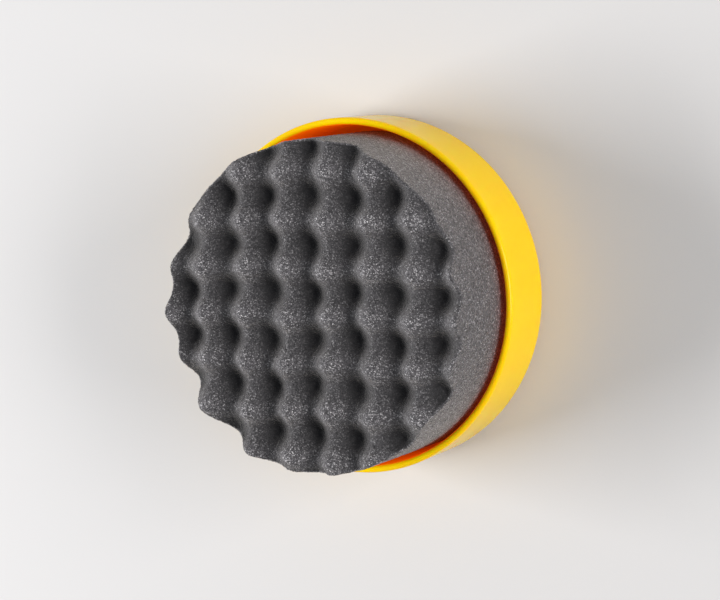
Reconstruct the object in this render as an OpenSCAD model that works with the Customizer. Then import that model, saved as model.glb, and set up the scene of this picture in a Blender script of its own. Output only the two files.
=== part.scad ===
// Hand polishing pad: a shallow moulded cup that the fingers close round, with a thick foam disc
// held on its floor by hook and loop. The foam's working face is cut in a wave of crests and pits.
// Millimetres. The origin is the centre of the cup's flat back, and +Z points to the working face.

/* [Grip cup] */
// Outside diameter of the cup at its lip
cup_d = 120; // [110:1:135]
// Height of the cup from its back to its lip
cup_h = 28; // [22:0.5:36]
// Thickness of the cup's wall and floor, and width of its rounded lip
wall_t = 2.4; // [1.8:0.1:3]
// Outside radius of the shoulder between the back and the side
shoulder_r = 5.4; // [4:0.2:8]
// How much smaller in radius the side is at the shoulder than at the lip, so that it leaves its mould
draft = 0.4; // [0:0.1:1]
// Diameter of the shallow recess in the back
recess_d = 84; // [60:1:96]
// Depth of that recess
recess_depth = 0.7; // [0.4:0.1:1]

/* [Hook and loop] */
// Diameter of the hook tape disc and of the adhesive film under it
hook_d = 98; // [80:1:100]
// Thickness of the adhesive film
film_t = 0.3; // [0.2:0.1:0.5]
// Thickness of the hook tape, with its hooks
hook_t = 1.5; // [1.2:0.1:2]
// Gap left between the hooks and the loop cloth
fasten_gap = 0.3; // [0.3:0.1:0.6]
// Thickness of the loop cloth
loop_t = 1.6; // [1:0.1:2.4]
// Thickness of the hot-melt web that bonds the cloth to the foam
web_t = 0.2; // [0.2:0.1:0.4]

/* [Foam pad] */
// Diameter of the foam disc
pad_d = 110; // [104:0.2:111]
// How far the pad is pressed on off the cup's axis, towards -X
pad_shift = 0.8; // [0:0.1:2]
// Height of the foam's crests above the cup's lip
crest_rise = 30.2; // [20:0.2:40]
// Depth of the saddles between two crests, below the crests
saddle_depth = 4.8; // [2:0.2:8]
// Depth of the pits between four crests, below the crests
pit_depth = 10; // [6:0.2:16]
// Distance from one crest to the next, along X and along Y
crest_pitch = 15.75; // [12:0.25:20]
// Sharpness of the crests: 1 for a plain wave, more for narrower crests
crest_sharpness = 1.2; // [1:0.1:2]
// X of one crest
crest_x = -3.5; // [-8:0.5:8]
// Y of one crest
crest_y = -7; // [-8:0.5:8]

/* [Hidden] */
$fn = 96;
// Cup: the wall leans out by this angle from the shoulder's centre to the lip's centre
lip_r = wall_t / 2;
lip_z = cup_h - lip_r;
lip_x = cup_d / 2 - lip_r;
shoulder_x = cup_d / 2 - draft - shoulder_r;
fillet_r = shoulder_r - wall_t;
// The side's outer line touches the shoulder's arc and the lip's arc, whose radii differ
side_run = [lip_x - shoulder_x, lip_z - shoulder_r];
side_lean = atan2(side_run[0], side_run[1]) - asin((shoulder_r - lip_r) / norm(side_run));
side_out = [cos(side_lean), -sin(side_lean)];
shoulder_c = [shoulder_x, shoulder_r];
lip_c = [lip_x, lip_z];
// How far the hollow's cutter runs past the lip
past = 1;
// Layers, from the cup's floor up
film_z = wall_t;
hook_z = film_z + film_t;
loop_z = hook_z + hook_t + fasten_gap;
web_z = loop_z + loop_t;
foam_z = web_z + web_t;
crest_z = cup_h + crest_rise;
// Foam mesh: rings from the centre out, and steps round each ring
rings = 22;
steps = 96;

// Outline of the cup's solid wall and floor, for turning round Z
module cup_outline() {
    difference() {
        union() {
            polygon([
                [0, 0],
                [shoulder_x, 0],
                shoulder_c + shoulder_r * side_out,
                lip_c + lip_r * side_out,
                lip_c - lip_r * side_out,
                [0, lip_z]
            ]);
            translate(shoulder_c) circle(r = shoulder_r);
            translate(lip_c) circle(r = lip_r);
        }
        union() {
            polygon([
                [-past, wall_t],
                [shoulder_x, wall_t],
                shoulder_c + fillet_r * side_out,
                lip_c - lip_r * side_out,
                lip_c - lip_r * side_out + [0, past + lip_r],
                [-past, cup_h + past]
            ]);
            translate(shoulder_c) circle(r = fillet_r);
        }
    }
}

// Moulded cup: closed back with a shallow recess, rounded shoulder, leaning side, rounded lip
module grip_cup() {
    color("gold")
    difference() {
        rotate_extrude() cup_outline();
        translate([0, 0, -past]) cylinder(d = recess_d, h = past + recess_depth);
    }
}

// A round layer, lying at height z
module layer(d, t, z, x = 0) {
    translate([x, 0, z]) cylinder(d = d, h = t);
}

// Pressure-sensitive film that sticks the hook tape to the cup's floor
module hook_adhesive() {
    color("gainsboro") layer(hook_d, film_t, film_z);
}

// Hook tape, with its field of hooks as one thickness
module hook_tape() {
    color("dimgray") layer(hook_d, hook_t, hook_z);
}

// Knitted loop cloth laminated to the foam's back
module loop_cloth() {
    color("slategray") layer(pad_d, loop_t, loop_z, -pad_shift);
}

// Hot-melt web between the loop cloth and the foam
module pad_adhesive() {
    color("whitesmoke") layer(pad_d, web_t, web_z, -pad_shift);
}

// Height of the foam's working face above one point of the cup's back: dome is 1 on a crest and
// hollow is 1 in a pit, and both are 0 on a saddle
function wave_z(x, y) =
    let (
        cx = cos(360 * (x - crest_x) / crest_pitch),
        cy = cos(360 * (y - crest_y) / crest_pitch),
        dome = (1 + cx) * (1 + cy) / 4,
        hollow = (1 - cx) * (1 - cy) / 4
    )
    crest_z - saddle_depth * (1 - pow(dome, crest_sharpness)) - (pit_depth - saddle_depth) * hollow;

function on_ring(r, a) = [r * cos(a) - pad_shift, r * sin(a)];
function on_face(p) = [p[0], p[1], wave_z(p[0], p[1])];
function vertex(ring, step) = 1 + (ring - 1) * steps + step % steps;

// Foam disc: flat back, straight side and waved working face
module foam_pad() {
    face = [
        for (ring = [1:rings], step = [0:steps - 1])
        on_face(on_ring(pad_d / 2 * ring / rings, 360 * step / steps))
    ];
    back = [for (step = [0:steps - 1]) concat(on_ring(pad_d / 2, 360 * step / steps), [foam_z])];
    points = concat([on_face([-pad_shift, 0])], face, back);
    centre_fan = [for (s = [0:steps - 1]) [0, vertex(1, s + 1), vertex(1, s)]];
    bands = [
        for (ring = [1:rings], s = [0:steps - 1], half = [0, 1])
        half == 0
            ? [vertex(ring, s), vertex(ring, s + 1), vertex(ring + 1, s)]
            : [vertex(ring, s + 1), vertex(ring + 1, s + 1), vertex(ring + 1, s)]
    ];
    back_face = [[for (s = [0:steps - 1]) vertex(rings + 1, s)]];
    color("dimgray") polyhedron(points, concat(centre_fan, bands, back_face));
}

grip_cup();
hook_adhesive();
hook_tape();
loop_cloth();
pad_adhesive();
foam_pad();
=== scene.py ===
"""Hand polishing pad: a glossy moulded grip cup with a thick foam disc in it, its working face cut in waves.

Run as a script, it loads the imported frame, makes each piece with one operator and lights the stage.
Lengths are metres. The origin is the centre of the cup's back, and +Z points to the working face.
"""

import math

import bpy
import numpy as np
from bpy.props import FloatProperty, FloatVectorProperty, IntProperty, PointerProperty
from mathutils import Matrix, Vector


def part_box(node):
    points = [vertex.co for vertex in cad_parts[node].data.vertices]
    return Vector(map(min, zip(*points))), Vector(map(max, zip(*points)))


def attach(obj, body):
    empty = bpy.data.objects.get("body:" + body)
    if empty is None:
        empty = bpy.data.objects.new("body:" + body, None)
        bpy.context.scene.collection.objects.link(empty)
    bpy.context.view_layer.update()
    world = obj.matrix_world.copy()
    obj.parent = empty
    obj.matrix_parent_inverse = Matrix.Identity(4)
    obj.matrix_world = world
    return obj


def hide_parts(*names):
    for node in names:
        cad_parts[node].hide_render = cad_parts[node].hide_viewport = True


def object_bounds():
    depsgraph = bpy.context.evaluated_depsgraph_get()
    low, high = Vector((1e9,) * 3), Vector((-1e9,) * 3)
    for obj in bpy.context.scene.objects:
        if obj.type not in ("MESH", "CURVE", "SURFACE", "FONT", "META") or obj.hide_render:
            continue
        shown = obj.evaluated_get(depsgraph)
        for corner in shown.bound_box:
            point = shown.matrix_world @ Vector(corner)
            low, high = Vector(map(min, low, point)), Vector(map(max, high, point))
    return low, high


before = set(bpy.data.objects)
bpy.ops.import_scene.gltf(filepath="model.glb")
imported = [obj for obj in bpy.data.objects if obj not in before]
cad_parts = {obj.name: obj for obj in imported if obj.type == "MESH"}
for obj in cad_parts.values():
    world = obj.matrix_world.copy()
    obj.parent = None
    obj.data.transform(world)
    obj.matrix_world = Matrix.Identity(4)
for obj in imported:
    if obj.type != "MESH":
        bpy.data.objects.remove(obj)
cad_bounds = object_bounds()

bl_info = {
    "name": "Hand polishing pad",
    "version": (1, 0, 0),
    "blender": (4, 5, 0),
    "location": "3D View > Sidebar > Polishing pad",
    "description": "Makes a hand polishing pad: grip cup, hook tape, loop cloth and waved foam disc",
    "category": "Add Mesh",
}

FULL_TURN = 2 * math.pi


# ---------------------------------------------------------------- settings


def length(name, description, default, **more):
    """A length property in metres."""
    return FloatProperty(
        name=name, description=description, default=default, unit="LENGTH", precision=5, **more
    )


def colour(name, description, default):
    """A linear colour property."""
    return FloatVectorProperty(
        name=name, description=description, default=default, subtype="COLOR", size=3, min=0, max=1
    )


def tilt(name, description, degrees):
    """An angle property, given in degrees."""
    return FloatProperty(name=name, description=description, default=math.radians(degrees), subtype="ANGLE")


class CupSettings(bpy.types.PropertyGroup):
    """Sizes and colours of the grip cup."""

    wall: length("Wall", "Thickness of the wall and floor, and width of the rounded lip", 0.0024)
    shoulder: length("Shoulder", "Outside radius between the back and the side", 0.0054)
    draft: length("Draft", "How much smaller in radius the side is at the shoulder than at the lip", 0.0004)
    recess_radius: length("Recess radius", "Radius of the shallow recess in the back", 0.042)
    recess_depth: length("Recess depth", "Depth of the recess in the back", 0.0007)
    edge: length("Edge", "Radius of the recess's moulded edges", 0.0003)
    gate_radius: length("Gate radius", "Radius of the gate's witness in the middle of the back", 0.0016)
    segments: IntProperty(name="Segments", description="Steps round the cup", default=240, min=48)
    plastic: colour("Plastic", "Colour of the moulded plastic", (1.0, 0.61, 0.0))
    plastic_deep: colour("Plastic, deep", "Colour where the plastic ran thicker", (1.0, 0.56, 0.0))
    # Painted shade: the deeper orange given to the inside of the cup.
    painted_inner_shade: colour("Plastic, core side", "Colour inside the cup", (1.0, 0.36, 0.0))
    # Painted light: the inner face glows by an emission, in place of light through the wall.
    painted_glow: colour("Wall glow", "Light that comes through the wall to its inner face", (0.55, 0.045, 0.0))


class FoamSettings(bpy.types.PropertyGroup):
    """Sizes and colours of the foam disc."""

    pitch: length("Crest pitch", "Distance from one crest to the next, along X and along Y", 0.01575)
    crest_x: length("Crest X", "X of one crest", -0.0035)
    crest_y: length("Crest Y", "Y of one crest", -0.007)
    rise: length("Crest rise", "Height of the crests above the cup's lip", 0.0302)
    saddle: length("Saddle depth", "Depth of the saddles between two crests, below the crests", 0.0048)
    pit: length("Pit depth", "Depth of the pits between four crests, below the crests", 0.010)
    sharpness: FloatProperty(
        name="Sharpness", description="1 for a plain wave, more for narrower crests", default=1.2, min=1
    )
    wander: length("Wander", "How far the crests stray from their even rows", 0.0006)
    edge: length("Edge", "Radius of the cut edge round the working face", 0.0007)
    cell: length("Cell", "Size of the foam's open cells", 0.00045)
    fray: length("Fray", "How far cut cells stand out of the surface", 0.00009)
    face_steps: IntProperty(
        name="Face steps", description="Steps across the working face", default=200, min=16
    )
    wall_steps: IntProperty(name="Wall steps", description="Steps down the side", default=56, min=4)
    strut: colour("Strut", "Colour of the foam where its struts catch the light", (0.135, 0.131, 0.142))
    hollow: colour("Hollow", "Colour of the foam inside its cells", (0.012, 0.012, 0.014))
    # Painted highlights: glints of shiny cell walls, put in the base colour.
    painted_glint: colour("Glint", "Colour of a shiny cell wall", (0.72, 0.71, 0.74))
    # Painted shade in the pits and on the cut side, through the attribute depth.
    pit_shade: FloatProperty(
        name="Pit shade", description="How much darker cells at a pit's bottom are", default=0.9
    )
    side_shade: FloatProperty(
        name="Side shade", description="Depth between crest and pit whose shade the cut side has", default=0.3
    )


class FastenerSettings(bpy.types.PropertyGroup):
    """Sizes and colours of the hook tape, loop cloth and bonding films."""

    hook_height: length("Hook height", "Height of the hooks above their tape", 0.0009)
    hook_across: length("Hook pitch across", "Distance between hooks along a row", 0.0016)
    hook_along: length("Hook pitch along", "Distance between rows of hooks", 0.0018)
    hook_thick: length("Hook thickness", "Thickness of a hook at its foot", 0.00024)
    tape_edge: length("Tape edge", "Radius of the tape's cut edge", 0.00012)
    knit_pitch: length("Knit pitch", "Width of one stitch of the loop cloth", 0.0011)
    knit_steps: IntProperty(name="Knit steps", description="Steps across the loop cloth", default=72, min=8)
    nylon: colour("Nylon", "Colour of the hook tape", (0.018, 0.018, 0.020))
    yarn: colour("Yarn", "Colour of the loop cloth", (0.21, 0.21, 0.215))
    film: colour("Film", "Colour of the adhesive film", (0.70, 0.68, 0.60))
    web: colour("Web", "Colour of the hot-melt web", (0.74, 0.73, 0.70))


class StageSettings(bpy.types.PropertyGroup):
    """Camera, floor and surround."""

    aim: FloatVectorProperty(
        name="Aim",
        description="Point that the camera looks at",
        default=(-0.0012, -0.0029, 0.0265),
        subtype="XYZ",
    )
    azimuth: tilt("Azimuth", "Camera's turn round Z", 14.1)
    elevation: tilt("Elevation", "Camera's height above the floor, as an angle", 59.6)
    roll: tilt("Roll", "Camera's turn round its own view", 103.85)
    distance: length("Distance", "From the camera to its aim", 0.804)
    lens: FloatProperty(name="Lens", description="Focal length in millimetres", default=120)
    floor_half: length("Floor", "Half the floor's width", 6.0)
    floor_gap: length("Floor gap", "Between the object's underside and the floor", 0.0001)
    floor: colour("Floor", "Colour of the floor", (0.60, 0.60, 0.61))
    sky: colour("Surround", "Colour of the light all round", (0.94, 0.97, 1.0))
    sky_strength: FloatProperty(
        name="Surround strength", description="Strength of the light all round", default=0.34
    )


# Soft lights: name, place, width, height, watts and tint
LIGHTS = (
    ("near_side", (0.1, -1.15, 0.62), 0.8, 0.4, 15, (1.0, 0.96, 0.92)),
    ("far_side", (-0.1, 1.15, 0.72), 0.8, 0.4, 23, (1.0, 0.98, 0.96)),
)
LIT_POINT = (0, 0, 0.03)


# ---------------------------------------------------------------- shader maths


class Value:
    """One output socket. Python's arithmetic on it adds Math nodes to its graph."""

    def __init__(self, graph, socket):
        self.graph = graph
        self.socket = socket

    def maths(self, operation, *numbers):
        return self.graph.add("ShaderNodeMath", {"operation": operation}, dict(enumerate(numbers)))

    def __add__(self, other):
        return self.maths("ADD", self, other)

    def __radd__(self, other):
        return self.maths("ADD", other, self)

    def __sub__(self, other):
        return self.maths("SUBTRACT", self, other)

    def __rsub__(self, other):
        return self.maths("SUBTRACT", other, self)

    def __mul__(self, other):
        return self.maths("MULTIPLY", self, other)

    def __rmul__(self, other):
        return self.maths("MULTIPLY", other, self)


class Graph:
    """The node graph of one new material."""

    def __init__(self, name):
        self.material = bpy.data.materials.new(name)
        self.material.use_nodes = True
        self.tree = self.material.node_tree
        self.tree.nodes.clear()
        self.place = self.add("ShaderNodeTexCoord", output="Object")

    def add(self, kind, settings=None, sockets=None, output=0):
        """Adds one node: its settings first, a ramp's stops among them, then its sockets' values or links."""
        node = self.tree.nodes.new(kind)
        for key, setting in (settings or {}).items():
            if key == "stops":
                self.set_stops(node.color_ramp, setting)
            else:
                setattr(node, key, setting)
        for key, given in (sockets or {}).items():
            if isinstance(given, Value):
                self.tree.links.new(given.socket, node.inputs[key])
            else:
                node.inputs[key].default_value = given
        return Value(self, node.outputs[output]) if node.outputs else node

    @staticmethod
    def set_stops(ramp, stops):
        """Gives a colour ramp its (position, grey level) stops."""
        while len(ramp.elements) < len(stops):
            ramp.elements.new(0.5)
        for element, (position, level) in zip(ramp.elements, stops):
            element.position = position
            element.color = (level, level, level, 1)

    def stretched(self, x, y, z):
        """Object coordinates multiplied by three numbers."""
        return self.add("ShaderNodeMapping", {}, {"Vector": self.place, "Scale": (x, y, z)})

    def noise(self, size, detail=2.0, vector=None):
        """Noise whose features are about size metres across, from 0 to 1."""
        sockets = {"Vector": vector or self.place, "Scale": 1 / size, "Detail": detail}
        return self.add("ShaderNodeTexNoise", {}, sockets)

    def cells(self, size, output="Distance"):
        """Voronoi cells about size metres across."""
        return self.add("ShaderNodeTexVoronoi", {}, {"Vector": self.place, "Scale": 1 / size}, output)

    def span(self, value, start, end):
        """0 where a value is at start, 1 where it is at end, and even between."""
        return self.add("ShaderNodeMapRange", {}, {"Value": value, "From Min": start, "From Max": end})

    def ramp(self, value, *stops):
        """A value carried along (position, level) stops."""
        return self.add("ShaderNodeValToRGB", {"stops": stops}, {"Fac": value})

    def mix(self, share, first, second):
        """One colour into another by share."""
        sockets = {0: share, 6: as_rgba(first), 7: as_rgba(second)}
        return self.add("ShaderNodeMix", {"data_type": "RGBA"}, sockets, 2)

    def bump(self, height, depth):
        """A bump whose height of 1 stands depth metres out of the surface."""
        return self.add("ShaderNodeBump", {}, {"Height": height, "Distance": depth, "Strength": 1.0})

    def finish(self, sockets):
        """Puts the surface shader in, with its sockets given by name, and returns the material."""
        surface = self.add("ShaderNodeBsdfPrincipled", {}, sockets)
        self.add("ShaderNodeOutputMaterial", {}, {"Surface": surface})
        return self.material


def as_rgba(given):
    """A colour of three numbers with its alpha, or a link as it is."""
    return given if isinstance(given, Value) else (*given, 1.0)


# ---------------------------------------------------------------- materials


def glossy_moulding(settings):
    """Bright glossy plastic: faint flow mottling, fine handling scuffs in the gloss, a faint mould texture.
    Inside the cup a deeper orange is painted as shade, and the inner face glows with painted light in place
    of the light that comes through the wall."""
    g = Graph("glossy_moulding")
    cup_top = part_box("grip_cup")[1]
    inner = cup_top.x - settings.wall
    flow = g.noise(0.022, 2.0)
    outside = g.mix(flow, settings.plastic, settings.plastic_deep)
    scuff = g.ramp(g.noise(0.004, 5.0, g.stretched(1, 1, 2)), (0.56, 0.0), (0.74, 1.0))
    skin = g.noise(0.0008, 2.0)
    from_axis = g.add("ShaderNodeVectorMath", {"operation": "LENGTH"}, {0: g.stretched(1, 1, 0)}, "Value")
    height = g.add("ShaderNodeSeparateXYZ", {}, {0: g.place}, "Z")
    # core is the cup's inside, given the painted shade; through is the share of painted light that glows on
    # the inner face, growing towards the inner wall and up to the lip.
    core = g.span(from_axis, inner + 0.0004, inner) * g.span(height, settings.wall * 0.7, settings.wall * 0.9)
    near_wall = g.span(from_axis, inner - settings.shoulder, inner)
    through = core * near_wall * g.span(height, -0.3 * cup_top.z, cup_top.z)
    return g.finish(
        {
            # Painted shade: the deeper orange inside the cup.
            "Base Color": g.mix(core, outside, settings.painted_inner_shade),
            "Roughness": 0.17 + 0.03 * flow + 0.04 * scuff,
            "Normal": g.bump(skin + 0.2 * scuff, 0.000003),
            "IOR": 1.49,
            "Specular IOR Level": 0.18,
            # Painted light: an emission on the inner face, strongest near the lip.
            "Emission Color": g.mix(through, (0, 0, 0), settings.painted_glow),
            "Emission Strength": 1.0,
            "Subsurface Weight": 0.5,
            "Subsurface Radius": (0.0060, 0.0010, 0.0001),
            "Subsurface Scale": 1.0,
        }
    )


def open_cell_foam(settings):
    """Charcoal open-cell foam: dark hollows between lighter struts, patchy dye, painted sheen from cell to
    cell, and many painted glints of shiny cell walls. The attribute depth, 0 on a crest and 1 in a pit,
    paints shade on the cells and glints towards the pits' bottoms."""
    g = Graph("open_cell_foam")
    lattice = g.cells(settings.cell)
    coarse = g.cells(settings.cell * 2.3)
    # Painted sheen: the struts' brightness changes at random from cell to cell.
    sheen = g.cells(settings.cell * 1.1, "Color")
    painted_glint_cells = g.cells(settings.cell * 0.7, "Color")
    patch = g.noise(0.006, 3.0)
    depth = g.add("ShaderNodeAttribute", {"attribute_name": "depth"}, {}, "Fac")
    # Painted shade: lit falls towards the pits' bottoms, darkening the cells there.
    lit = 1.0 - settings.pit_shade * g.span(depth, 0.1, 0.8)
    strut = g.ramp(lattice + 0.25 * coarse, (0.2, 0.0), (0.8, 1.0)) * lit
    body = g.mix(strut * (0.25 + 0.35 * patch + 0.9 * sheen), settings.hollow, settings.strut)
    # Painted highlights: the brightest cells become glints, dimmed by the painted pit shade.
    painted_glint = g.ramp(painted_glint_cells, (0.68, 0.0), (0.92, 1.0)) * lit
    return g.finish(
        {
            "Base Color": g.mix(painted_glint * (0.42 + 0.58 * strut), body, settings.painted_glint),
            "Roughness": 0.6 + 0.3 * strut,
            "Normal": g.bump(lattice + 0.5 * coarse, 0.00025),
            "Sheen Weight": 0.35,
            "Sheen Roughness": 0.35,
            "Sheen Tint": (1.0, 0.93, 0.86, 1.0),
            "Specular IOR Level": 0.3,
        }
    )


def hook_nylon(settings):
    """Black moulded nylon: matt, a little uneven in gloss from hook to hook."""
    g = Graph("hook_nylon")
    wear = g.noise(0.004, 3.0)
    fine = g.noise(0.0003, 2.0)
    return g.finish(
        {
            "Base Color": g.mix(wear, settings.nylon, [2.2 * level for level in settings.nylon]),
            "Roughness": 0.38 + 0.25 * wear,
            "Normal": g.bump(fine, 0.00003),
        }
    )


def loop_knit(settings):
    """Knitted loop cloth: rows of stitches with brushed yarn loops over them."""
    g = Graph("loop_knit")
    rows = g.add(
        "ShaderNodeTexWave",
        {"wave_type": "BANDS", "bands_direction": "X"},
        {
            "Vector": g.place,
            "Scale": 1 / settings.knit_pitch / FULL_TURN * 2,
            "Distortion": 1.5,
            "Detail": 2.0,
        },
    )
    loops = g.cells(settings.knit_pitch * 0.8)
    fuzz = g.noise(0.0004, 4.0)
    shade = g.ramp(loops + 0.4 * rows + 0.4 * fuzz, (0.35, 0.0), (1.0, 1.0))
    dark = [0.35 * level for level in settings.yarn]
    return g.finish(
        {
            "Base Color": g.mix(shade, settings.yarn, dark),
            "Roughness": 0.8 + 0.15 * fuzz,
            "Normal": g.bump(1.0 - loops + 0.3 * fuzz, 0.0004),
            "Sheen Weight": 0.4,
        }
    )


def bonding_film(name, tint, streak_size):
    """Thin bonding layer: pale, slightly cloudy where it wetted out unevenly."""
    g = Graph(name)
    cloud = g.noise(streak_size, 4.0)
    return g.finish(
        {
            "Base Color": g.mix(cloud, tint, [0.8 * level for level in tint]),
            "Roughness": 0.45 + 0.3 * cloud,
            "Normal": g.bump(cloud, 0.00004),
        }
    )


def pale_paper(settings):
    """Pale seamless paper under the object."""
    g = Graph("pale_paper")
    tone = g.noise(0.35, 2.0)
    grain = g.noise(0.0009, 2.0)
    return g.finish(
        {
            "Base Color": g.mix(tone, settings.floor, [0.97 * level for level in settings.floor]),
            "Roughness": 0.85 + 0.1 * grain,
            "Normal": g.bump(grain, 0.00002),
        }
    )


# ---------------------------------------------------------------- surfaces


def solid(name, points, quads, triangles, material):
    """Makes a smooth mesh object at the origin from tables of points, four-sided and three-sided faces."""
    sides = np.concatenate([np.full(len(quads), 4), np.full(len(triangles), 3)])
    corners = np.concatenate([np.ravel(quads), np.ravel(triangles)]).astype(np.int32)
    mesh = bpy.data.meshes.new(name)
    mesh.vertices.add(len(points))
    mesh.vertices.foreach_set("co", np.asarray(points, np.float32).ravel())
    mesh.loops.add(len(corners))
    mesh.loops.foreach_set("vertex_index", corners)
    mesh.polygons.add(len(sides))
    mesh.polygons.foreach_set("loop_start", (np.cumsum(sides) - sides).astype(np.int32))
    mesh.update(calc_edges=True)
    mesh.shade_smooth()
    mesh.materials.append(material)
    piece = bpy.data.objects.new(name, mesh)
    bpy.context.scene.collection.objects.link(piece)
    return piece


def band(rings, steps):
    """Four-sided faces between closed rings of points, facing out where the rings climb the outside."""
    low = np.arange(rings - 1)[:, None] * steps
    here = np.arange(steps)[None, :]
    after = (here + 1) % steps
    return np.stack([low + here, low + after, low + steps + after, low + steps + here], -1).reshape(-1, 4)


def turned(outline, steps):
    """Turns an outline of (radius, height) round Z: a point goes to (r cos a, r sin a, z) at each angle a.
    The outline starts and ends on the axis, where two single points close the surface."""
    angle = np.linspace(0, FULL_TURN, steps, endpoint=False)
    radius, height = outline[1:-1, 0, None], outline[1:-1, 1, None]
    rings = np.stack([radius * np.cos(angle), radius * np.sin(angle), height + 0 * angle], -1)
    poles = [[0, 0, outline[0, 1]], [0, 0, outline[-1, 1]]]
    points = np.concatenate([rings.reshape(-1, 3), poles])
    here, after = np.arange(steps), (np.arange(steps) + 1) % steps
    first, last = len(points) - 2, len(points) - 1
    end = (len(rings) - 1) * steps
    start_fan = np.stack([np.full(steps, first), after, here], -1)
    end_fan = np.stack([end + here, end + after, np.full(steps, last)], -1)
    return points, band(len(rings), steps), np.concatenate([start_fan, end_fan])


def rounded(corners, radii, steps):
    """Rounds the inner corners of an open outline. Each corner becomes an arc of its own radius that touches
    both its sides: centre on the corner's bisector, at radius over the sine of half the corner's angle."""
    corners, radii = np.array(corners, float), np.array(radii, float)[:, None]
    here = corners[1:-1]
    back, ahead = corners[:-2] - here, corners[2:] - here
    back /= np.linalg.norm(back, axis=1, keepdims=True)
    ahead /= np.linalg.norm(ahead, axis=1, keepdims=True)
    half = np.arccos(np.clip((back * ahead).sum(1, keepdims=True), -1, 1)) / 2
    middle = (back + ahead) / np.linalg.norm(back + ahead, axis=1, keepdims=True)
    centre = here + middle * radii / np.sin(half)
    start = here + back * radii / np.tan(half) - centre
    turn = np.pi - 2 * half
    side = np.sign(back[:, :1] * ahead[:, 1:] - back[:, 1:] * ahead[:, :1])
    angle = -side * turn * np.linspace(0, 1, steps)
    cos, sin = np.cos(angle), np.sin(angle)
    x = centre[:, :1] + start[:, :1] * cos - start[:, 1:] * sin
    y = centre[:, 1:] + start[:, :1] * sin + start[:, 1:] * cos
    arcs = np.stack([x, y], -1).reshape(-1, 2)
    return np.concatenate([corners[:1], arcs, corners[-1:]])


def filled(outline, longest):
    """Adds points along an outline so that no two are further apart than longest."""
    run = np.concatenate([[0], np.cumsum(np.linalg.norm(np.diff(outline, axis=0), axis=1))])
    extra = np.arange(0, run[-1], longest)
    along = np.unique(np.round(np.concatenate([run, extra]), 7))
    along = along[np.concatenate([[True], np.diff(along) > longest / 12])]
    along[-1] = run[-1]
    return np.stack([np.interp(along, run, outline[:, 0]), np.interp(along, run, outline[:, 1])], -1)


def disc_grid(steps):
    """A square grid laid on the unit disc: squares of the grid go to circles of the disc, so a point of the
    square (a, b) with a the larger goes to radius a at the angle that b / a is of an eighth turn."""
    side = np.linspace(-1, 1, steps + 1)
    a, b = np.meshgrid(side, side, indexing="ij")
    wide = np.abs(a) >= np.abs(b)
    radius = np.where(wide, a, b)
    safe = np.where(radius == 0, 1, radius)
    angle = np.where(wide, np.pi / 4 * b / safe, np.pi / 2 - np.pi / 4 * a / safe)
    return np.stack([radius * np.cos(angle), radius * np.sin(angle)], -1)


def disc_faces(steps):
    """The grid's four-sided faces, seen from +Z, and the numbers of its rim points, anticlockwise."""
    number = np.arange((steps + 1) ** 2).reshape(steps + 1, steps + 1)
    quads = np.stack([number[:-1, :-1], number[1:, :-1], number[1:, 1:], number[:-1, 1:]], -1).reshape(-1, 4)
    rim = np.concatenate([number[:-1, 0], number[-1, :-1], number[:0:-1, -1], number[0, :0:-1]])
    return quads, rim


def thick_disc(face, rings, steps):
    """Closes a disc grid into a solid. face holds the top's points and rings the rings that go down from its
    rim and in along the underside, to one point in the middle at the last ring's mean."""
    quads, rim = disc_faces(steps)
    count = len(rim)
    pole = rings[-1].mean(axis=0)
    points = np.concatenate([face.reshape(-1, 3), rings.reshape(-1, 3), pole[None]])
    number = np.concatenate([rim[None], (steps + 1) ** 2 + np.arange(len(rings) * count).reshape(-1, count)])
    after = np.roll(number, -1, axis=1)
    side = np.stack([number[:-1], number[1:], after[1:], after[:-1]], -1).reshape(-1, 4)
    fan = np.stack([number[-1], np.full(count, len(points) - 1), after[-1]], -1)
    return points, np.concatenate([quads, side]), fan


def swept_hooks(feet, facing, height, thick):
    """One small hook on each foot. Its path climbs a stem and then turns over in half a circle, and a square
    section that thins towards the tip is carried along it, in the plane of the path and across it."""
    along = np.linspace(0, 1, 7)
    crook = 0.3 * height
    stem = np.clip(along / 0.4, 0, 1)
    turn = np.pi * 1.1 * np.clip((along - 0.4) / 0.6, 0, 1)
    climb = (height - crook - thick / 2) * stem + crook * np.sin(turn)
    path = np.stack([crook * (1 - np.cos(turn)), climb], -1)
    outward = np.stack([-np.cos(turn), np.sin(turn)], -1)
    half = thick / 2 * (1 - 0.4 * along)[:, None]
    corner = np.array([[-1, -1], [1, -1], [1, 1], [-1, 1]])
    in_plane = path[:, None] + outward[:, None] * (half * corner[:, 0])[..., None]
    across = half * corner[:, 1]
    x = feet[:, 0, None, None] + facing[:, None, None] * in_plane[None, ..., 0]
    y = feet[:, 1, None, None] + facing[:, None, None] * across[None]
    z = feet[:, 2, None, None] + in_plane[None, ..., 1] + 0 * x
    points = np.stack([x, y, z], -1).reshape(-1, 3)
    one = band(len(along), 4)
    ends = np.array([[3, 2, 1, 0], [len(along) * 4 - 4 + k for k in range(4)]])
    each = np.arange(len(feet))[:, None, None] * (len(along) * 4)
    return points, (np.concatenate([one, ends])[None] + each).reshape(-1, 4)


# ---------------------------------------------------------------- pieces


def make_piece(name, surface, material, body, slot, *nodes):
    """Makes one piece from its points and faces, rides it on its body and lets it stand for its CAD nodes."""
    piece = solid(name, *surface, material)
    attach(piece, body)
    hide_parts(*nodes)
    return piece


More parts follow.
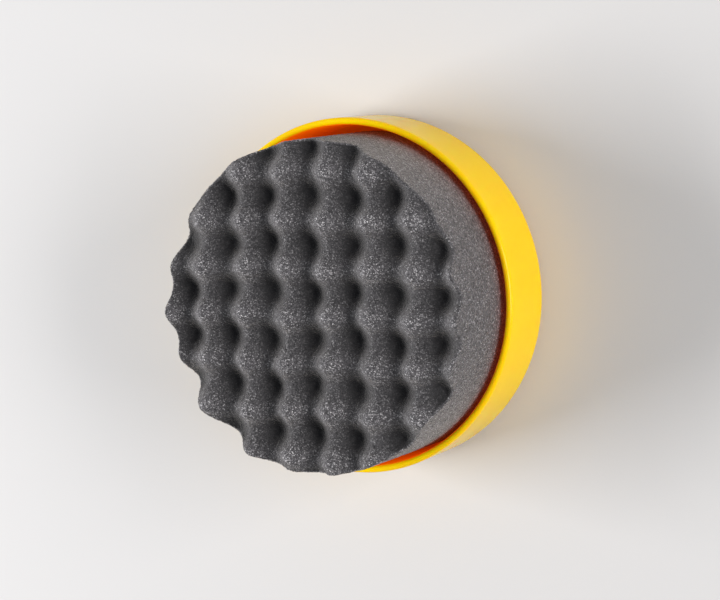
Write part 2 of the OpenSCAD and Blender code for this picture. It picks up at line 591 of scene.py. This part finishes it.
def cup_outline(settings):
    """The cup's outline from the middle of its back out, up its leaning side, over the lip and back to the
    middle of its floor, with every corner rounded."""
    low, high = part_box("grip_cup")
    radius, top, wall = (high.x - low.x) / 2, high.z, settings.wall
    lean = settings.draft / (top - wall / 2 - settings.shoulder)
    base = radius - lean * top
    recess, deep = settings.recess_radius, settings.recess_depth
    gate, gate_top = settings.gate_radius, settings.recess_depth * 0.55
    corners = [
        (0, gate_top),
        (gate, gate_top),
        (gate * 1.15, deep),
        (recess - 0.3 * deep, deep),
        (recess, 0),
        (base, 0),
        (radius, top),
        (radius - wall, top),
        (base - wall + lean * wall, wall),
        (0, wall),
    ]
    edge, lip = settings.edge, 0.495 * wall
    radii = [edge / 3, edge / 3, edge, edge, settings.shoulder, lip, lip, settings.shoulder - wall]
    return filled(rounded(corners, radii, 9), 0.0012)


class POLISHING_PAD_OT_grip_cup(bpy.types.Operator):
    """Make the moulded grip cup"""

    bl_idname = "polishing_pad.grip_cup"
    bl_label = "Grip cup"

    def execute(self, context):
        settings = context.scene.pad_cup
        surface = turned(cup_outline(settings), settings.segments)
        make_piece("cup_moulding", surface, glossy_moulding(settings), "cup", "cup_plastic", "grip_cup")
        return {"FINISHED"}


def wave_height(x, y, settings, crest):
    """Height of the working face. With cx and cy the cosines of x and y over the pitch, dome is (1 + cx)
    (1 + cy) over 4 and hollow is (1 - cx)(1 - cy) over 4. The height is the crest's, less the saddle depth
    times what dome to the power of the sharpness lacks of 1, less the rest of the pit depth times hollow.
    The rows wander a little: x is first moved by a slow sine of x and y, and y by another."""
    slow = FULL_TURN / settings.pitch
    across = x + settings.wander * np.sin(0.37 * slow * y + 0.21 * slow * x + 1.0)
    along = y + settings.wander * np.sin(0.31 * slow * x - 0.27 * slow * y + 2.0)
    cx = np.cos(slow * (across - settings.crest_x))
    cy = np.cos(slow * (along - settings.crest_y))
    dome = (1 + cx) * (1 + cy) / 4
    hollow = (1 - cx) * (1 - cy) / 4
    fall = settings.saddle * (1 - dome**settings.sharpness)
    return crest - fall - (settings.pit - settings.saddle) * hollow


def foam_surface(settings, seed=11):
    """The foam disc: the waved face on a disc grid, an arc over the cut edge, a straight side down to the
    back, and a flat back. Cut cells then stand out by a small random amount."""
    low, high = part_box("foam_pad")
    centre, radius = (low + high) / 2, (high.y - low.y) / 2
    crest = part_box("grip_cup")[1].z + settings.rise
    steps, edge = settings.face_steps, settings.edge
    spot = disc_grid(steps) * (radius - edge)
    face = np.stack([spot[..., 0] + centre.x, spot[..., 1] + centre.y, 0 * spot[..., 0]], -1)
    face[..., 2] = wave_height(face[..., 0], face[..., 1], settings, crest)
    rim_point = face.reshape(-1, 3)[disc_faces(steps)[1]]
    angle = np.arctan2(rim_point[:, 1] - centre.y, rim_point[:, 0] - centre.x)
    over = np.linspace(0, np.pi / 2, 5)[1:, None]
    down = np.linspace(0, 1, settings.wall_steps + 1)[1:, None]
    brow = rim_point[:, 2] - edge
    under = radius * np.array([[0.66], [0.33]])
    reach = np.concatenate([radius - edge + edge * np.sin(over), 0 * down + radius, under])
    side = brow + (low.z - brow) * down
    drop = np.concatenate([brow + edge * np.cos(over), side, np.full((len(under), len(angle)), low.z)])
    rings = np.stack([centre.x + reach * np.cos(angle), centre.y + reach * np.sin(angle), drop], -1)
    draw = np.random.default_rng(seed)
    face += draw.normal(0, settings.fray, face.shape)
    rings[:-3] += draw.normal(0, settings.fray, rings[:-3].shape)
    return thick_disc(face, rings, steps)


class POLISHING_PAD_OT_foam_disc(bpy.types.Operator):
    """Make the foam disc with its waved working face"""

    bl_idname = "polishing_pad.foam_disc"
    bl_label = "Foam disc"

    def execute(self, context):
        settings = context.scene.pad_foam
        surface = foam_surface(settings)
        foam = open_cell_foam(settings)
        piece = make_piece("foam_disc", surface, foam, "pad", "open_cell_foam", "foam_pad")
        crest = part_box("grip_cup")[1].z + settings.rise
        # The attribute depth sets the foam's painted shade; the cut side gets the painted shade of
        # side_shade.
        depth = np.full(len(surface[0]), settings.side_shade, np.float32)
        on_face = (settings.face_steps + 1) ** 2
        depth[:on_face] = (crest - surface[0][:on_face, 2]) / settings.pit
        piece.data.attributes.new("depth", "FLOAT", "POINT").data.foreach_set("value", depth)
        return {"FINISHED"}


def hook_surface(settings):
    """The tape, a turned disc with soft edges, and a staggered field of hooks that face left and right in
    turn, row by row."""
    low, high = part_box("hook_tape")
    radius, tape_top = (high.x - low.x) / 2, high.z - settings.hook_height
    corners = [(0, low.z), (radius, low.z), (radius, tape_top), (0, tape_top)]
    outline = filled(rounded(corners, [settings.tape_edge] * 2, 4), 0.004)
    points, quads, fans = turned(outline, 180)
    rows = int(radius / settings.hook_along)
    posts = int(radius / settings.hook_across)
    row, post = np.meshgrid(np.arange(-rows, rows + 1), np.arange(-posts, posts + 1), indexing="ij")
    x = (post + 0.5 * (row % 2)) * settings.hook_across
    y = row * settings.hook_along
    kept = np.hypot(x, y) < radius - 2 * settings.hook_height
    feet = np.stack([x[kept], y[kept], np.full(kept.sum(), tape_top)], -1)
    facing = np.where(row[kept] % 2 == 0, 1.0, -1.0)
    hooks, hook_quads = swept_hooks(feet, facing, settings.hook_height, settings.hook_thick)
    return np.concatenate([points, hooks]), np.concatenate([quads, hook_quads + len(points)]), fans


class POLISHING_PAD_OT_hook_tape(bpy.types.Operator):
    """Make the hook tape on the cup's floor"""

    bl_idname = "polishing_pad.hook_tape"
    bl_label = "Hook tape"

    def execute(self, context):
        settings = context.scene.pad_fastener
        surface = hook_surface(settings)
        make_piece("hook_field", surface, hook_nylon(settings), "cup", "hook_nylon", "hook_tape")
        return {"FINISHED"}


def knit_surface(settings):
    """The loop cloth: a disc whose top lies flat on the foam's web and whose underside dimples slightly with
    the stitches, by a product of two sines, joined by a soft rim."""
    low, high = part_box("loop_cloth")
    centre, radius, thick = (low + high) / 2, (high.y - low.y) / 2, high.z - low.z
    steps, edge = settings.knit_steps, 0.3 * thick
    spot = disc_grid(steps) * (radius - edge)
    face = np.stack([spot[..., 0] + centre.x, spot[..., 1] + centre.y, 0 * spot[..., 0] + high.z], -1)
    rim_point = face.reshape(-1, 3)[disc_faces(steps)[1]]
    angle = np.arctan2(rim_point[:, 1] - centre.y, rim_point[:, 0] - centre.x)
    over = np.linspace(0, np.pi, 9)[1:, None]
    inward = np.linspace(1, 0, steps // 2 + 1)[1:-1, None]
    reach = np.concatenate([radius - edge + edge * np.sin(over), (radius - edge) * inward])
    x, y = centre.x + reach * np.cos(angle), centre.y + reach * np.sin(angle)
    dimple = 0.06 * thick * (1 + np.sin(x / settings.knit_pitch) * np.sin(y / settings.knit_pitch))
    rim_z = (low.z + high.z) / 2 + thick / 2 * np.cos(over) + 0 * angle
    drop = np.concatenate([rim_z, low.z + dimple[len(over):]])
    return thick_disc(face, np.stack([x, y, drop], -1), steps)


class POLISHING_PAD_OT_loop_cloth(bpy.types.Operator):
    """Make the loop cloth on the foam's back"""

    bl_idname = "polishing_pad.loop_cloth"
    bl_label = "Loop cloth"

    def execute(self, context):
        settings = context.scene.pad_fastener
        surface = knit_surface(settings)
        piece = make_piece("knit_disc", surface, loop_knit(settings), "pad", "loop_knit", "loop_cloth")
        return {"FINISHED"}


class POLISHING_PAD_OT_bonding_films(bpy.types.Operator):
    """Give the two bonding films their finishes"""

    bl_idname = "polishing_pad.bonding_films"
    bl_label = "Bonding films"

    def execute(self, context):
        settings = context.scene.pad_fastener
        finishes = {
            "hook_adhesive": bonding_film("adhesive_film", settings.film, 0.012),
            "pad_adhesive": bonding_film("melt_web", settings.web, 0.0015),
        }
        for node, finish in finishes.items():
            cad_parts[node].data.materials.clear()
            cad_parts[node].data.materials.append(finish)
        return {"FINISHED"}


# ---------------------------------------------------------------- stage


def soft_light(name, place, aim, width, height, watts, tint):
    """A rectangular studio light at place, facing aim."""
    data = bpy.data.lights.new(name, "AREA")
    data.shape = "RECTANGLE"
    data.size, data.size_y = width, height
    data.energy = watts
    data.color = tint
    light = bpy.data.objects.new(name, data)
    light.location = place
    light.rotation_euler = (Vector(aim) - Vector(place)).to_track_quat("-Z", "Y").to_euler()
    bpy.context.scene.collection.objects.link(light)


def studio_camera(settings):
    """The camera: its back points from the aim at the azimuth and elevation, and it is turned round its view
    by the roll."""
    a, e = settings.azimuth, settings.elevation
    back = Vector((math.sin(a) * math.cos(e), -math.cos(a) * math.cos(e), math.sin(e)))
    right = Vector((math.cos(a), math.sin(a), 0))
    upright = Matrix((right, back.cross(right), back)).transposed()
    camera = bpy.data.objects.new("camera", bpy.data.cameras.new("camera"))
    camera.data.lens = settings.lens
    camera.data.clip_start, camera.data.clip_end = 0.05, 4 * settings.floor_half
    camera.rotation_mode = "QUATERNION"
    camera.rotation_quaternion = (upright @ Matrix.Rotation(-settings.roll, 3, "Z")).to_quaternion()
    camera.location = Vector(settings.aim) + settings.distance * back
    bpy.context.scene.collection.objects.link(camera)
    bpy.context.scene.camera = camera


class POLISHING_PAD_OT_stage(bpy.types.Operator):
    """Make the floor, the lights and the camera"""

    bl_idname = "polishing_pad.stage"
    bl_label = "Stage"

    def execute(self, context):
        settings = context.scene.pad_stage
        half, below = settings.floor_half, cad_bounds[0].z - settings.floor_gap
        corners = [(-half, -half, below), (half, -half, below), (half, half, below), (-half, half, below)]
        solid("floor", corners, [[0, 1, 2, 3]], [], pale_paper(settings))
        world = bpy.data.worlds.new("surround")
        world.use_nodes = True
        surround = world.node_tree.nodes["Background"].inputs
        surround["Color"].default_value = (*settings.sky, 1)
        surround["Strength"].default_value = settings.sky_strength
        context.scene.world = world
        for name, place, width, height, watts, tint in LIGHTS:
            soft_light(name, place, LIT_POINT, width, height, watts, tint)
        context.scene.view_settings.view_transform = "Standard"
        studio_camera(settings)
        return {"FINISHED"}


class POLISHING_PAD_PT_panel(bpy.types.Panel):
    """Lists the pieces and their settings"""

    bl_idname = "POLISHING_PAD_PT_panel"
    bl_label = "Polishing pad"
    bl_space_type = "VIEW_3D"
    bl_region_type = "UI"
    bl_category = "Polishing pad"

    def draw(self, context):
        for name, operators in PIECES.items():
            box = self.layout.box()
            for operator in operators:
                box.operator(operator.bl_idname)
            group = getattr(context.scene, name)
            for key in group.bl_rna.properties.keys():
                if key not in ("rna_type", "name"):
                    box.prop(group, key)


SETTINGS = {
    "pad_cup": CupSettings,
    "pad_foam": FoamSettings,
    "pad_fastener": FastenerSettings,
    "pad_stage": StageSettings,
}
PIECES = {
    "pad_stage": [POLISHING_PAD_OT_stage],
    "pad_cup": [POLISHING_PAD_OT_grip_cup],
    "pad_foam": [POLISHING_PAD_OT_foam_disc],
    "pad_fastener": [
        POLISHING_PAD_OT_hook_tape,
        POLISHING_PAD_OT_loop_cloth,
        POLISHING_PAD_OT_bonding_films,
    ],
}
CLASSES = [*SETTINGS.values(), *[one for group in PIECES.values() for one in group], POLISHING_PAD_PT_panel]


def register():
    """Registers the classes and gives each scene its settings."""
    for one in CLASSES:
        bpy.utils.register_class(one)
    for name, group in SETTINGS.items():
        setattr(bpy.types.Scene, name, PointerProperty(type=group))


def unregister():
    """Takes the settings and classes away again."""
    for name in SETTINGS:
        delattr(bpy.types.Scene, name)
    for one in reversed(CLASSES):
        bpy.utils.unregister_class(one)


def main():
    """Makes the whole scene."""
    register()
    bpy.ops.polishing_pad.stage()
    bpy.ops.polishing_pad.grip_cup()
    bpy.ops.polishing_pad.foam_disc()
    bpy.ops.polishing_pad.hook_tape()
    bpy.ops.polishing_pad.loop_cloth()
    bpy.ops.polishing_pad.bonding_films()


if __name__ == "__main__":
    main()
